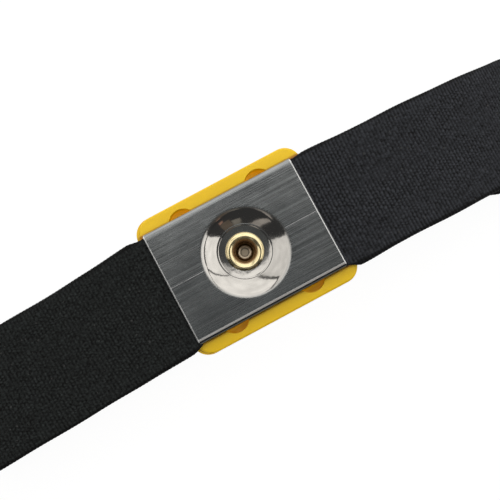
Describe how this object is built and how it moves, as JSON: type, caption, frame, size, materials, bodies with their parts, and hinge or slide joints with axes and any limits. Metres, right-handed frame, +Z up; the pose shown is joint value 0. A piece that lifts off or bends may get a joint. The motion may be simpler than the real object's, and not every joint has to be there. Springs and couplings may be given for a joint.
{
  "type": "esd wrist strap",
  "caption": "Elastic grounding wrist strap lying flat, with a steel skin plate, a plastic buckle with a hinged clamp lid and a snap stud.",
  "frame": {"origin": "on the table under the snap stud's axis, in the middle of the buckle", "axes": "+X along the strap towards the clamp lid, +Z up out of the steel skin face, +Y across the webbing"},
  "size_m": [0.1213, 0.0246, 0.02],
  "materials": {
    "steel": "brushed along the webbing, polished in the dish",
    "brass": "bright, rolled",
    "nickel": "nickel plated, bright",
    "pin_steel": "drawn wire",
    "yellow_plastic": "moulded, satin",
    "webbing": "ribbed elastic knit",
    "thread": "twisted sewing thread"
  },
  "bodies": {
    "strap": {"skin_plate": "steel", "contact_rivet": "brass", "snap_stud": "nickel", "housing": "yellow_plastic", "hinge_pin": "pin_steel", "band_fixed_end": "webbing", "band_upper_left": "webbing", "band_left_fold": "webbing", "band_lower": "webbing", "band_right_fold": "webbing", "band_upper_right": "webbing", "band_clamped_end": "webbing", "band_tail": "webbing", "hem_stitches": "thread"},
    "lid": {"clamp_lid": "yellow_plastic"}
  },
  "joints": [
    {"name": "clamp_lid_hinge", "type": "hinge", "parent": "strap", "child": "lid", "pos_m": [0.0094, 0, 0.01441], "axis": [0, 1, 0], "range_deg": [0, 95]}
  ]
}
